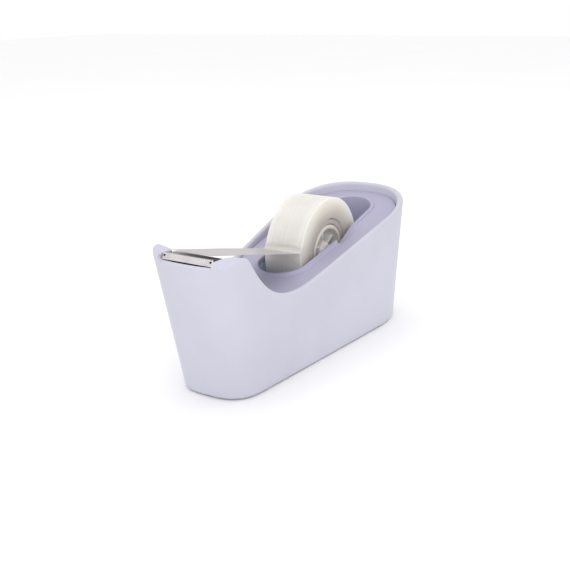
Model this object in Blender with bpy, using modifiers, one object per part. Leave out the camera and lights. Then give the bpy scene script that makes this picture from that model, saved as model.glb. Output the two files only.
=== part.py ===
"""A weighted desk tape dispenser, built as an assembly. Metres, +Z up, cutter end towards -X.

The shell leans out to the front and sides. Its rim dips in a valley behind the cutter and then climbs to the
rear. Inside it a sloping deck has a narrow well, where a reel of tape turns on an axle that drops into two
inclined grooves. A cradle under the deck forms the well, and a cast block, two bars, a base plate and a foam
pad fill the underside.
"""

import math

import bmesh
import bpy
from mathutils import Matrix, Vector

MM = 0.001

# Plan of the shell: sides that part evenly from FRONT_X to WIDENS_TO and lean out with height, between two
# superelliptic ends.
FRONT_X = -63.7 * MM
REAR_X = 75.0 * MM
FRONT_LEAN = 0.183
SIDE_LEAN = 0.086
FRONT_HALF_WIDTH = 16.8 * MM
REAR_HALF_WIDTH = 24.6 * MM
FRONT_CAP = 17.0 * MM
REAR_CAP = 31.7 * MM
FRONT_ROUNDNESS = 3.0
REAR_ROUNDNESS = 2.4
WIDENS_TO = 45.0 * MM
CAP_STEPS = 14
SIDE_STEPS = 5

# Rim, seen from the side: a flat beak, a valley and a straight climb.
BEAK_TOP = 62.3 * MM
BEAK_ROUND_X = -71.4 * MM
BEAK_ROUND = 3.0 * MM
SLOPE_X = -9.8 * MM
SLOPE_Z = 42.5 * MM
SLOPE = 0.2515
VALLEY_X = -5.0 * MM
VALLEY_RISE = 0.0000359 * MM
VALLEY_POWER = 3.39
CORNER_SOFTNESS = 1.8 * MM
CURVE_REACH = 77.0 * MM
CURVE_STEPS = 70

# Walls and gaps.
WALL = 2.4 * MM
GAP = 0.3 * MM
SHELL_FOOT = 0.5 * MM
LEDGE_WIDTH = 1.1 * MM
LEDGE_HEIGHT = 1.5 * MM
ABOVE_ALL = 90.0 * MM
SIDE_REACH = 45.0 * MM
END_REACH = 90.0 * MM

# Deck: it follows the rim, a little lower towards the rear, and ends as a platform under the cutter.
DECK_THICKNESS = 2.2 * MM
DECK_DROP_FRONT = 0.8 * MM
DECK_DROP_REAR = 3.0 * MM
DROP_FROM = -18.0 * MM
DROP_TO = 32.0 * MM
PLATFORM_TOP = 56.4 * MM

# Cutter: a steel blade on a carrier, between two cheeks of the shell.
CUTTER_HALF_WIDTH = 12.5 * MM
CHEEK_BACK = -64.3 * MM
CHEEK_BOTTOM = 53.0 * MM
CARRIER_X = (-69.8 * MM, -62.6 * MM)
CARRIER_LIP = 1.0 * MM
BLADE_HALF_WIDTH = 11.8 * MM
BLADE_THICKNESS = 0.5 * MM
BLADE_FOOT = (-72.4 * MM, 58.9 * MM)
BLADE_EDGE = (-71.2 * MM, 60.6 * MM)
BLADE_BACK = -66.5 * MM
BLADE_SEAT_TOP = 60.0 * MM
TOOTH_COUNT = 18
TOOTH_LENGTH = 0.8 * MM
BLADE_HOLE = 0.8 * MM
BLADE_HOLE_Y = 10.8 * MM
LUG_RADIUS = 0.9 * MM
LUG_LENGTH = 1.2 * MM
LUG_X = -66.5 * MM
LUG_Z = 58.2 * MM

# Reel and axle.
REEL_X = 19.5 * MM
REEL_Z = 41.9 * MM
TAPE_HALF_WIDTH = 9.5 * MM
TAPE_RADIUS = 25.1 * MM
CORE_RADIUS = 15.1 * MM
CORE_BORE = 12.8 * MM
CORE_HALF_WIDTH = 8.8 * MM
HUB_RADIUS = 12.5 * MM
HUB_RIM = 2.0 * MM
HUB_WEB = 1.4 * MM
HUB_BOSS = 4.5 * MM
HUB_BORE = 1.85 * MM
HUB_SPLIT = 0.15 * MM
RIB_COUNT = 6
RIB_WIDTH = 1.2 * MM
RIB_TOP = 6.0 * MM
AXLE_RADIUS = 1.75 * MM
AXLE_HALF_LENGTH = 15.5 * MM
AXLE_CHAMFER = 0.4 * MM
ROUND_STEPS = 56

# Well and grooves.
WELL_FRONT = -16.0 * MM
WELL_REAR = 64.3 * MM
WELL_HALF_WIDTH = 11.5 * MM
WELL_END_STEPS = 14
WELL_WALL = 1.8 * MM
WELL_FLOOR = 12.0 * MM
SKIRT_BOTTOM = 42.3 * MM
GROOVE_ANGLE = math.radians(58)
GROOVE_WIDTH = 4.0 * MM
GROOVE_LENGTH = 20.0 * MM
GROOVE_END_Y = 15.9 * MM
FLARE_START = 3.6 * MM
FLARE = math.radians(30)
BEARING_X = (12.0 * MM, 31.0 * MM)
BEARING_Y = 17.2 * MM
BEARING_BOTTOM = 36.5 * MM

# Underside.
PAD_THICKNESS = 1.1 * MM
PAD_INSET = 3.4 * MM
PLATE_BOTTOM = 1.4 * MM
PLATE_TOP = 3.8 * MM
BOSS_RADIUS = 3.3 * MM
BOSS_BORE = 1.8 * MM
BOSS_BORE_TOP = 14.0 * MM
DECK_BOSSES = ((-50.0 * MM, 10.0 * MM), (51.5 * MM, 17.0 * MM))
CRADLE_BOSSES = ((4.0 * MM, 0.0), (46.0 * MM, 0.0))
CRADLE_BORE_TOP = 9.5 * MM
HEAD_RADIUS = 2.8 * MM
HEAD_BOTTOM = 1.6 * MM
HEAD_TOP = 3.0 * MM
SCREW_RADIUS = 1.45 * MM
BASE_SCREW_TIP = 13.0 * MM
CRADLE_SCREW_TIP = 9.0 * MM
WEIGHT_X = (-45.5 * MM, -18.5 * MM)
WEIGHT_TOP = 31.0 * MM
WEIGHT_INSET = 4.9 * MM
BAR_X = (-6.0 * MM, 47.5 * MM)
BAR_INNER_Y = 14.0 * MM
BAR_TOP = 35.0 * MM

# Tape that has left the reel: a straight strip from the front of the roll to the teeth.
TAPE_THICKNESS = 0.3 * MM
PEEL = (-6.0 * MM, 47.1 * MM)
STRIP_END = (-68.8 * MM, 61.8 * MM)


def smooth_step(value):
    value = min(max(value, 0.0), 1.0)
    return value * value * (3 - 2 * value)


def soft_lower(a, b):
    """The lower of two heights, with a rounded corner where they cross."""
    return 0.5 * (a + b - math.sqrt((a - b) ** 2 + CORNER_SOFTNESS**2))


def valley_height(x):
    """A straight climb to the rear, and in front of VALLEY_X a rise by a power of the distance."""
    rise = VALLEY_RISE * (max(VALLEY_X - x, 0.0) / MM) ** VALLEY_POWER
    return SLOPE_Z + SLOPE * (x - SLOPE_X) + rise


def rim_height(x):
    if x > 0:
        return valley_height(x)
    ahead = min(max(BEAK_ROUND_X - x, 0.0), BEAK_ROUND)
    rounding = BEAK_ROUND - math.sqrt(BEAK_ROUND**2 - ahead**2)
    return soft_lower(BEAK_TOP, valley_height(x)) - rounding


def deck_height(x):
    share = smooth_step((x - DROP_FROM) / (DROP_TO - DROP_FROM))
    height = valley_height(x) - DECK_DROP_FRONT - (DECK_DROP_REAR - DECK_DROP_FRONT) * share
    return soft_lower(PLATFORM_TOP, height) if x < 0 else height


def post_height(x):
    """Where the deck's posts and skirt end, inside the thickness of the deck."""
    return deck_height(x) - DECK_THICKNESS / 2


def cradle_height(x):
    return min(SKIRT_BOTTOM - GAP, deck_height(x) - DECK_THICKNESS - GAP)


def plan_outline(z, inset):
    """Points round the shell's plan at height z, moved inwards by inset. Both ends are superellipses."""
    front = FRONT_X - FRONT_LEAN * z + inset
    rear = REAR_X - inset
    front_centre = front + FRONT_CAP
    rear_centre = rear - REAR_CAP

    def half_width(x):
        share = min((x - FRONT_X) / (WIDENS_TO - FRONT_X), 1.0)
        return FRONT_HALF_WIDTH + (REAR_HALF_WIDTH - FRONT_HALF_WIDTH) * share + SIDE_LEAN * z - inset

    side = []
    for i in range(CAP_STEPS + 1):
        angle = math.pi / 2 * i / CAP_STEPS
        x = rear_centre + REAR_CAP * math.cos(angle) ** (2 / REAR_ROUNDNESS)
        side.append((x, half_width(x) * math.sin(angle) ** (2 / REAR_ROUNDNESS)))
    for i in range(1, SIDE_STEPS):
        x = rear_centre + (front_centre - rear_centre) * i / SIDE_STEPS
        side.append((x, half_width(x)))
    for i in range(CAP_STEPS + 1):
        angle = math.pi / 2 * (1 - i / CAP_STEPS)
        x = front_centre - FRONT_CAP * math.cos(angle) ** (2 / FRONT_ROUNDNESS)
        side.append((x, half_width(x) * math.sin(angle) ** (2 / FRONT_ROUNDNESS)))
    return side + [(x, -y) for x, y in reversed(side[1:-1])]


def well_outline(grow):
    """A slot with half-round ends, grown by a distance all round."""
    radius = WELL_HALF_WIDTH + grow
    points = []
    for centre, start in ((WELL_REAR - WELL_HALF_WIDTH, -0.5), (WELL_FRONT + WELL_HALF_WIDTH, 0.5)):
        for i in range(WELL_END_STEPS + 1):
            angle = math.pi * (start + i / WELL_END_STEPS)
            points.append((centre + radius * math.cos(angle), radius * math.sin(angle)))
    return points


def srgb(*levels):
    return tuple((v / 255 / 12.92) if v <= 10 else ((v / 255 + 0.055) / 1.055) ** 2.4 for v in levels)


def material(name, colour, roughness, metallic=0.0):
    made = bpy.data.materials.new(name)
    made.use_nodes = True
    shader = made.node_tree.nodes["Principled BSDF"]
    shader.inputs["Base Color"].default_value = (*colour, 1.0)
    shader.inputs["Roughness"].default_value = roughness
    shader.inputs["Metallic"].default_value = metallic
    return made


def add_object(name, mesh, finish=None):
    """A new object in the dispenser's collection or, with no finish, a helper among the cutters."""
    made = bpy.data.objects.new(name, mesh)
    if finish is None:
        cutters.objects.link(made)
        made.hide_render = True
        made.display_type = "WIRE"
    else:
        mesh.materials.append(finish)
        dispenser.objects.link(made)
    return made


def mesh_from(shape, name):
    bmesh.ops.recalc_face_normals(shape, faces=shape.faces)
    mesh = bpy.data.meshes.new(name)
    shape.to_mesh(mesh)
    shape.free()
    return mesh


def loft(name, low_ring, low_z, high_ring, high_z, finish=None):
    """A closed solid between two outlines with the same number of points."""
    shape = bmesh.new()
    low = [shape.verts.new((x, y, low_z)) for x, y in low_ring]
    high = [shape.verts.new((x, y, high_z)) for x, y in high_ring]
    for i in range(len(low)):
        j = (i + 1) % len(low)
        shape.faces.new((low[i], low[j], high[j], high[i]))
    shape.faces.new(high)
    shape.faces.new(low[::-1])
    return add_object(name, mesh_from(shape, name), finish)


def body_loft(name, inset, low_z, high_z, finish=None):
    """A slice of the shell's form. Every slice lies on the same straight lines from floor to top."""
    floor = plan_outline(0.0, inset)
    top = plan_outline(ABOVE_ALL, inset)

    def ring(z):
        share = z / ABOVE_ALL
        return [(a + (c - a) * share, b + (d - b) * share) for (a, b), (c, d) in zip(floor, top)]

    return loft(name, ring(low_z), low_z, ring(high_z), high_z, finish)


def prism(name, outline, low_z, high_z, finish=None):
    return loft(name, outline, low_z, outline, high_z, finish)


def box(name, low, high, finish=None):
    shape = bmesh.new()
    bmesh.ops.create_cube(shape, size=1.0)
    size = [b - a for a, b in zip(low, high)]
    bmesh.ops.transform(shape, matrix=Matrix.Diagonal((*size, 1.0)), verts=shape.verts)
    bmesh.ops.translate(shape, vec=[(a + b) / 2 for a, b in zip(low, high)], verts=shape.verts)
    return add_object(name, mesh_from(shape, name), finish)


def cylinder(name, place, radius, low, high, axis="Z", finish=None):
    """A round bar along Z or Y through place, from low to high on that axis."""
    shape = bmesh.new()
    bmesh.ops.create_cone(
        shape, cap_ends=True, segments=24, radius1=radius, radius2=radius, depth=high - low
    )
    bmesh.ops.translate(shape, vec=(0.0, 0.0, (low + high) / 2), verts=shape.verts)
    if axis == "Y":
        bmesh.ops.rotate(shape, matrix=Matrix.Rotation(-math.pi / 2, 3, "X"), verts=shape.verts)
        bmesh.ops.translate(shape, vec=(place[0], 0.0, place[1]), verts=shape.verts)
    else:
        bmesh.ops.translate(shape, vec=(place[0], place[1], 0.0), verts=shape.verts)
    return add_object(name, mesh_from(shape, name), finish)


def flat_outline(name, points, half_thickness, turn, finish=None):
    """A flat outline thickened to both sides, then turned from the XY plane by a matrix."""
    data = bpy.data.curves.new(name, "CURVE")
    data.dimensions = "2D"
    data.fill_mode = "BOTH"
    data.extrude = half_thickness
    spline = data.splines.new("POLY")
    spline.points.add(len(points) - 1)
    for point, (x, y) in zip(spline.points, points):
        point.co = (x, y, 0.0, 1.0)
    spline.use_cyclic_u = True
    drawn = bpy.data.objects.new(name + "_outline", data)
    bpy.context.scene.collection.objects.link(drawn)
    bpy.context.view_layer.update()
    filled = bpy.data.meshes.new_from_object(drawn.evaluated_get(bpy.context.evaluated_depsgraph_get()))
    bpy.data.objects.remove(drawn)
    shape = bmesh.new()
    shape.from_mesh(filled)
    bmesh.ops.remove_doubles(shape, verts=shape.verts, dist=1e-6)
    bmesh.ops.transform(shape, matrix=turn, verts=shape.verts)
    return add_object(name, mesh_from(shape, name), finish)


def side_outline(name, points, half_width, finish=None):
    """An outline in X and Z, carried half_width to each side of the middle plane."""
    return flat_outline(name, points, half_width, Matrix.Rotation(math.pi / 2, 4, "X"), finish)


def turned(name, profile, finish):
    """A ring of (radius, distance along Y) points turned round the reel's axis with a Screw modifier."""
    mesh = bpy.data.meshes.new(name)
    count = len(profile)
    mesh.from_pydata([(r, 0.0, h) for r, h in profile], [(i, (i + 1) % count) for i in range(count)], [])
    made = add_object(name, mesh, finish)
    screw = made.modifiers.new("turn", "SCREW")
    screw.steps = ROUND_STEPS
    screw.render_steps = ROUND_STEPS
    screw.use_merge_vertices = True
    screw.merge_threshold = 1e-6
    made.location = (REEL_X, 0.0, REEL_Z)
    made.rotation_euler = (-math.pi / 2, 0.0, 0.0)
    return made


def combine(target, operation, *others):
    for other in others:
        step = target.modifiers.new(operation.lower() + "_" + other.name, "BOOLEAN")
        step.operation = operation
        step.object = other
        step.solver = "EXACT"
    return target


def region_below(name, height):
    """Everything under a height curve, across the whole width."""
    xs = [CURVE_REACH * (2 * i / CURVE_STEPS - 1) for i in range(CURVE_STEPS + 1)]
    floor = [(CURVE_REACH, -CURVE_REACH), (-CURVE_REACH, -CURVE_REACH)]
    return side_outline(name, [(x, height(x)) for x in xs] + floor, SIDE_REACH)


def cheek_boxes(prefix, grow):
    """The blocks beside the cutter, grown by the gap that a neighbour keeps."""
    made = []
    for side, sign in (("left", 1), ("right", -1)):
        near, far = sorted((sign * (CUTTER_HALF_WIDTH - grow), sign * SIDE_REACH))
        low = (-END_REACH, near, CHEEK_BOTTOM - grow)
        made.append(box(f"{prefix}_{side}", low, (CHEEK_BACK + grow, far, ABOVE_ALL)))
    return made


def groove_cutter():
    """The axle's way in: a half-round seat, a straight channel and a mouth flared to the rear."""
    along = Vector((math.cos(GROOVE_ANGLE), math.sin(GROOVE_ANGLE)))
    across = Vector((math.sin(GROOVE_ANGLE), -math.cos(GROOVE_ANGLE)))
    seat = Vector((REEL_X, REEL_Z))
    half = GROOVE_WIDTH / 2
    points = []
    for i in range(13):
        angle = math.pi * i / 12
        points.append(seat + half * (math.cos(angle) * -across - math.sin(angle) * along))
    flare_rise = GROOVE_LENGTH - FLARE_START
    points.append(seat + half * across + FLARE_START * along)
    points.append(seat + (half + flare_rise * math.tan(FLARE)) * across + GROOVE_LENGTH * along)
    points.append(seat - half * across + GROOVE_LENGTH * along)
    return side_outline("axle_groove", [tuple(p) for p in points], GROOVE_END_Y)


def boss_points(places):
    """Both sides of the middle plane, or one point where a place is on it."""
    return [(x, sign * y) for x, y in places for sign in ((1, -1) if y else (1,))]


def make_shell(finish):
    shell = body_loft("outer_shell", 0.0, SHELL_FOOT, ABOVE_ALL, finish)
    cavity = body_loft("shell_cavity", WALL, -5 * MM, ABOVE_ALL + 5 * MM)
    combine(cavity, "DIFFERENCE", *cheek_boxes("shell_cheek", 0.0))
    ledge_bottom = PLATE_TOP + GAP
    ledge = body_loft("shell_ledge", WALL - 0.6 * MM, ledge_bottom, ledge_bottom + LEDGE_HEIGHT)
    combine(ledge, "DIFFERENCE", body_loft("ledge_hole", WALL + LEDGE_WIDTH, -5 * MM, 12 * MM))
    reach = CUTTER_HALF_WIDTH
    notch_bottom = BLADE_FOOT[1] - GAP
    notch = box("cutter_notch", (-END_REACH, -reach, notch_bottom), (CHEEK_BACK, reach, ABOVE_ALL))
    hole_reach = reach + LUG_LENGTH + GAP
    lug_hole = cylinder("lug_hole", (LUG_X, LUG_Z), LUG_RADIUS + GAP, -hole_reach, hole_reach, "Y")
    combine(shell, "DIFFERENCE", cavity)
    combine(shell, "UNION", ledge)
    combine(shell, "INTERSECT", region_below("under_rim", rim_height))
    combine(shell, "DIFFERENCE", notch, lug_hole)


def make_deck(finish, well, groove):
    posts = prism("deck_skirt", well_outline(WELL_WALL), SKIRT_BOTTOM, ABOVE_ALL)
    block_low = (BEARING_X[0], -BEARING_Y, SKIRT_BOTTOM)
    combine(posts, "UNION", box("deck_bearing", block_low, (BEARING_X[1], BEARING_Y, ABOVE_ALL)))
    for i, place in enumerate(boss_points(DECK_BOSSES)):
        combine(posts, "UNION", cylinder(f"deck_boss_{i}", place, BOSS_RADIUS, PLATE_TOP + GAP, ABOVE_ALL))
    combine(posts, "INTERSECT", region_below("under_deck_middle", post_height))
    deck = body_loft("top_deck", WALL + GAP, 20 * MM, ABOVE_ALL, finish)
    combine(deck, "INTERSECT", region_below("under_deck_top", deck_height))
    underside = region_below("under_deck", lambda x: deck_height(x) - DECK_THICKNESS)
    combine(deck, "DIFFERENCE", underside)
    combine(deck, "UNION", posts)
    combine(deck, "DIFFERENCE", well, groove, *cheek_boxes("deck_cheek", GAP))
    for i, place in enumerate(boss_points(DECK_BOSSES)):
        combine(deck, "DIFFERENCE", cylinder(f"deck_bore_{i}", place, BOSS_BORE, 0.0, BOSS_BORE_TOP))


def make_cradle(finish, well, groove):
    cradle = prism("roll_cradle", well_outline(WELL_WALL), WELL_FLOOR - WELL_WALL, ABOVE_ALL, finish)
    low = (BEARING_X[0], -BEARING_Y, BEARING_BOTTOM)
    combine(cradle, "UNION", box("cradle_bearing", low, (BEARING_X[1], BEARING_Y, ABOVE_ALL)))
    for i, place in enumerate(CRADLE_BOSSES):
        foot = cylinder(f"cradle_foot_{i}", place, BOSS_RADIUS, PLATE_TOP + GAP, WELL_FLOOR - 0.6 * MM)
        combine(cradle, "UNION", foot)
    combine(cradle, "INTERSECT", region_below("under_cradle_top", cradle_height))
    combine(cradle, "DIFFERENCE", well, groove)
    for i, place in enumerate(CRADLE_BOSSES):
        bore = cylinder(f"cradle_bore_{i}", place, BOSS_BORE, 0.0, CRADLE_BORE_TOP)
        combine(cradle, "DIFFERENCE", bore)


def make_underside(plate_finish, pad_finish, weight_finish):
    body_loft("non_skid_pad", PAD_INSET, 0.0, PAD_THICKNESS, pad_finish)
    plate = body_loft("base_plate", WALL + GAP, PLATE_BOTTOM, PLATE_TOP, plate_finish)
    for i, place in enumerate(boss_points(DECK_BOSSES + CRADLE_BOSSES)):
        recess = cylinder(f"head_recess_{i}", place, HEAD_RADIUS + GAP, 0.0, HEAD_TOP + GAP)
        combine(plate, "DIFFERENCE", recess, cylinder(f"screw_hole_{i}", place, BOSS_BORE, 0.0, 9 * MM))
    top = PLATE_TOP + GAP
    weight = body_loft("ballast_front", WEIGHT_INSET, top, WEIGHT_TOP, weight_finish)
    limits = box("ballast_front_limits", (WEIGHT_X[0], -SIDE_REACH, 0.0), (WEIGHT_X[1], SIDE_REACH, ABOVE_ALL))
    combine(weight, "INTERSECT", limits)
    for side, sign in (("left", 1), ("right", -1)):
        bar = body_loft(f"ballast_{side}", WEIGHT_INSET, top, BAR_TOP, weight_finish)
        near, far = sorted((sign * BAR_INNER_Y, sign * SIDE_REACH))
        keep = box(f"ballast_{side}_limits", (BAR_X[0], near, 0.0), (BAR_X[1], far, ABOVE_ALL))
        combine(bar, "INTERSECT", keep)


def make_screws(finish):
    sets = (("base_screw", DECK_BOSSES, BASE_SCREW_TIP), ("cradle_screw", CRADLE_BOSSES, CRADLE_SCREW_TIP))
    for name, places, tip in sets:
        for i, place in enumerate(boss_points(places), start=1):
            screw = cylinder(f"{name}_{i}", place, HEAD_RADIUS, HEAD_BOTTOM, HEAD_TOP, finish=finish)
            shank = cylinder(f"{name}_shank_{i}", place, SCREW_RADIUS, HEAD_TOP - 0.5 * MM, tip)
            combine(screw, "UNION", shank)


def blade_matrix():
    """Turns an outline in XY so that X runs along Y and Y climbs the blade's leaning front."""
    up = (Vector((BLADE_EDGE[0], 0.0, BLADE_EDGE[1])) - Vector((BLADE_FOOT[0], 0.0, BLADE_FOOT[1]))).normalized()
    along = Vector((0.0, 1.0, 0.0))
    turn = Matrix((along, up, along.cross(up))).transposed().to_4x4()
    turn.translation = (BLADE_FOOT[0], 0.0, BLADE_FOOT[1])
    return turn


def make_cutter(blade_finish, carrier_finish):
    height = math.dist(BLADE_FOOT, BLADE_EDGE)
    pitch = 2 * BLADE_HALF_WIDTH / TOOTH_COUNT
    edge = [(-BLADE_HALF_WIDTH, 0.0), (BLADE_HALF_WIDTH, 0.0)]
    for i in range(TOOTH_COUNT):
        right = BLADE_HALF_WIDTH - i * pitch
        edge += [(right, height), (right - pitch / 2, height + TOOTH_LENGTH)]
    edge.append((-BLADE_HALF_WIDTH, height))
    blade = flat_outline("cutter_blade", edge, BLADE_THICKNESS / 2, blade_matrix(), blade_finish)
    lean = (BLADE_EDGE[0] - BLADE_FOOT[0]) / (BLADE_EDGE[1] - BLADE_FOOT[1])
    flange_bottom = BLADE_SEAT_TOP - BLADE_THICKNESS
    low = (BLADE_FOOT[0] + lean * (BLADE_SEAT_TOP - BLADE_FOOT[1]), -BLADE_HALF_WIDTH, flange_bottom)
    flange = box("blade_flange", low, (BLADE_BACK, BLADE_HALF_WIDTH, BLADE_SEAT_TOP))
    combine(blade, "UNION", flange)
    middle = (BLADE_FOOT[1] + BLADE_EDGE[1]) / 2
    for side, y in (("left", BLADE_HOLE_Y), ("right", -BLADE_HOLE_Y)):
        half = BLADE_HOLE / 2
        hole_low = (BLADE_FOOT[0] - 3 * MM, y - half, middle - half)
        hole_high = (BLADE_EDGE[0] + 0.8 * MM, y + half, middle + half)
        combine(blade, "DIFFERENCE", box(f"blade_hole_{side}", hole_low, hole_high))

    carrier_top = flange_bottom - GAP
    lip = BLADE_FOOT[0] + CARRIER_LIP
    bottom = PLATFORM_TOP + GAP
    top_front = lip + lean * (carrier_top - BLADE_FOOT[1])
    points = [(CARRIER_X[0], bottom), (CARRIER_X[1], bottom), (CARRIER_X[1], carrier_top)]
    points += [(top_front, carrier_top), (lip, BLADE_FOOT[1]), (CARRIER_X[0], BLADE_FOOT[1])]
    half = CUTTER_HALF_WIDTH - GAP
    carrier = side_outline("blade_carrier", points, half, carrier_finish)
    reach = half + LUG_LENGTH
    combine(carrier, "UNION", cylinder("carrier_lugs", (LUG_X, LUG_Z), LUG_RADIUS, -reach, reach, "Y"))


def ring_profile(inner, outer, half_width):
    return [(outer, half_width), (outer, -half_width), (inner, -half_width), (inner, half_width)]


def make_reel(tape_finish, core_finish, hub_finish, axle_finish):
    turned("tape_roll", ring_profile(CORE_RADIUS + GAP, TAPE_RADIUS, TAPE_HALF_WIDTH), tape_finish)
    turned("roll_core", ring_profile(CORE_BORE, CORE_RADIUS, CORE_HALF_WIDTH), core_finish)
    for side, sign in (("left", 1), ("right", -1)):
        near, far, web = HUB_SPLIT, CORE_HALF_WIDTH, HUB_SPLIT + HUB_WEB
        inner_rim = HUB_RADIUS - HUB_RIM
        profile = [(HUB_RADIUS, far), (HUB_RADIUS, near), (HUB_BORE, near), (HUB_BORE, far)]
        profile += [(HUB_BOSS, far), (HUB_BOSS, web), (inner_rim, web), (inner_rim, far)]
        profile = [(r, sign * y) for r, y in profile]
        hub = turned(f"hub_{side}", profile if sign > 0 else profile[::-1], hub_finish)
        for i in range(RIB_COUNT):
            low, high = sorted((sign * (web - 0.5 * MM), sign * RIB_TOP))
            rib = box(f"hub_{side}_rib_{i}", (HUB_BOSS - 1 * MM, low, -RIB_WIDTH / 2),
                      (inner_rim + 1 * MM, high, RIB_WIDTH / 2))
            rib.rotation_euler = (0.0, 2 * math.pi * (i + 0.5) / RIB_COUNT, 0.0)
            rib.location = (REEL_X, 0.0, REEL_Z)
            combine(hub, "UNION", rib)
    place = (REEL_X, REEL_Z)
    axle = cylinder("axle", place, AXLE_RADIUS, -AXLE_HALF_LENGTH, AXLE_HALF_LENGTH, "Y", axle_finish)
    bevel = axle.modifiers.new("ends", "BEVEL")
    bevel.width = AXLE_CHAMFER
    bevel.segments = 1
    bevel.limit_method = "ANGLE"


def make_strip(finish):
    start, end = Vector(PEEL), Vector(STRIP_END)
    along = (end - start).normalized()
    normal = Vector((along.y, -along.x)) * -TAPE_THICKNESS / 2
    points = [start - normal, end - normal, end + normal, start + normal]
    side_outline("tape_strip", [tuple(p) for p in points], TAPE_HALF_WIDTH, finish)


for old in list(bpy.data.objects):
    bpy.data.objects.remove(old)
dispenser = bpy.data.collections.new("tape_dispenser")
cutters = bpy.data.collections.new("cutters")
bpy.context.scene.collection.children.link(dispenser)
bpy.context.scene.collection.children.link(cutters)

plastic = material("shell_plastic", srgb(212, 211, 222), 0.45)
deck_plastic = material("deck_plastic", srgb(182, 180, 205), 0.5)
slate_plastic = material("cradle_plastic", srgb(116, 126, 142), 0.5)
clear_plastic = material("hub_plastic", srgb(185, 182, 180), 0.35)
core_plastic = material("core_plastic", srgb(200, 192, 184), 0.5)
tape_film = material("tape_film", srgb(234, 230, 226), 0.4)
blade_steel = material("blade_steel", srgb(186, 183, 186), 0.25, 1.0)
dark_plastic = material("carrier_plastic", srgb(92, 88, 88), 0.5)
bright_steel = material("axle_steel", srgb(190, 190, 190), 0.3, 1.0)
zinc_steel = material("screw_steel", srgb(150, 150, 155), 0.35, 1.0)
black_plastic = material("plate_plastic", srgb(60, 60, 64), 0.6)
foam = material("pad_foam", srgb(45, 45, 47), 0.9)
cast_metal = material("cast_weight", srgb(80, 78, 76), 0.7, 0.6)

well_cutter = prism("well", well_outline(0.0), WELL_FLOOR, ABOVE_ALL + 5 * MM)
axle_groove = groove_cutter()
make_shell(plastic)
make_deck(deck_plastic, well_cutter, axle_groove)
make_cradle(slate_plastic, well_cutter, axle_groove)
make_underside(black_plastic, foam, cast_metal)
make_screws(zinc_steel)
make_cutter(blade_steel, dark_plastic)
make_reel(tape_film, core_plastic, clear_plastic, bright_steel)
make_strip(tape_film)
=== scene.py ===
"""A weighted desk tape dispenser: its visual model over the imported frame.

Lengths are in millimetres until a mesh is made. +X is the rear, the cutter is at -X, +Z is up.
"""

import math

import bpy
import numpy as np
from mathutils import Matrix, Vector


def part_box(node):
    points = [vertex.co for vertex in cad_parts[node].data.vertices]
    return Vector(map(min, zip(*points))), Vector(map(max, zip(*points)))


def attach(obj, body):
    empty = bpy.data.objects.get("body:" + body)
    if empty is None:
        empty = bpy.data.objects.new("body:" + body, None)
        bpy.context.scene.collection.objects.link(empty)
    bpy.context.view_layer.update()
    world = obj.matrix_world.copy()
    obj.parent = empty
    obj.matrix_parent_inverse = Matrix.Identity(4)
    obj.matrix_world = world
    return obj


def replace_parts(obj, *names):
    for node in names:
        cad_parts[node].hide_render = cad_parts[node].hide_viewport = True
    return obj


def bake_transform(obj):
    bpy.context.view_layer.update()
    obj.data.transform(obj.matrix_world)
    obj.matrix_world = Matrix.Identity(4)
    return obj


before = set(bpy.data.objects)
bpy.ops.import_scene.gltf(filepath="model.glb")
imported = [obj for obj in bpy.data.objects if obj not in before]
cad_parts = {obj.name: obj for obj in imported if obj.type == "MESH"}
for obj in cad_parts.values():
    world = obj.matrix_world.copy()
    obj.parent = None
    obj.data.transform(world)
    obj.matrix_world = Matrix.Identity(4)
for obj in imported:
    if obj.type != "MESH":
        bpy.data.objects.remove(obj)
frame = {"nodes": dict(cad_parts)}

MM = 0.001
SHARP_ANGLE = math.radians(38)
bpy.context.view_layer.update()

# Plan of the casing: superelliptic ends, and sides that part evenly to the rear and lean out.
FRONT_X, REAR_X = -63.7, 75.0
FRONT_LEAN, SIDE_LEAN = 0.183, 0.086
FRONT_HALF_WIDTH, REAR_HALF_WIDTH = 16.8, 24.6
FRONT_CAP, REAR_CAP = 17.0, 31.7
FRONT_ROUNDNESS, REAR_ROUNDNESS = 3.0, 2.4
WIDENS_TO = 45.0
FORM_TOP = 90.0
STATIONS_Z = 50.0
WALL = 2.4
DECK_INSET = 2.7
FOOT_Z, FOOT_ROUND, LIP_ROUND = 0.5, 1.2, 1.15

# A wall that leans makes a point's place depend on its height, and the height on its place. Both are found by
# repeated steps from a first height.
SETTLE_STEPS, SETTLE_START = 12, 55.0

# Rim and deck, seen from the side.
BEAK_TOP = 61.9
SLOPE_X, SLOPE_Z, SLOPE = -9.8, 42.5, 0.2515
VALLEY_X, VALLEY_RISE, VALLEY_POWER = -5.0, 0.0000359, 3.39
CORNER_SOFTNESS = 1.8
PLATFORM_TOP = 56.4
DROP_FRONT, DROP_REAR = 1.6, 3.9
DROP_FROM, DROP_TO = -18.0, 32.0
DECK_THICKNESS = 2.2
SKIRT_BOTTOM, SKIRT_THICKNESS = 42.3, 1.8

# Ears beside the cutter. They fall towards the blade and towards their front corner, and each has a dimple.
EAR_BACK = -64.3
EAR_INNER_Y = 12.5
EAR_BOTTOM = 53.0
EAR_PLAN_Z = 61.0
EAR_ROUND = 0.9
INNER_FALL, CORNER_FALL = 0.9, 3.4
DIMPLE_X, DIMPLE_Y, DIMPLE_RADIUS, DIMPLE_DEPTH = -70.0, 14.4, 0.75, 0.35
SILL, SILL_BACK = 58.6, -66.5

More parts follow.
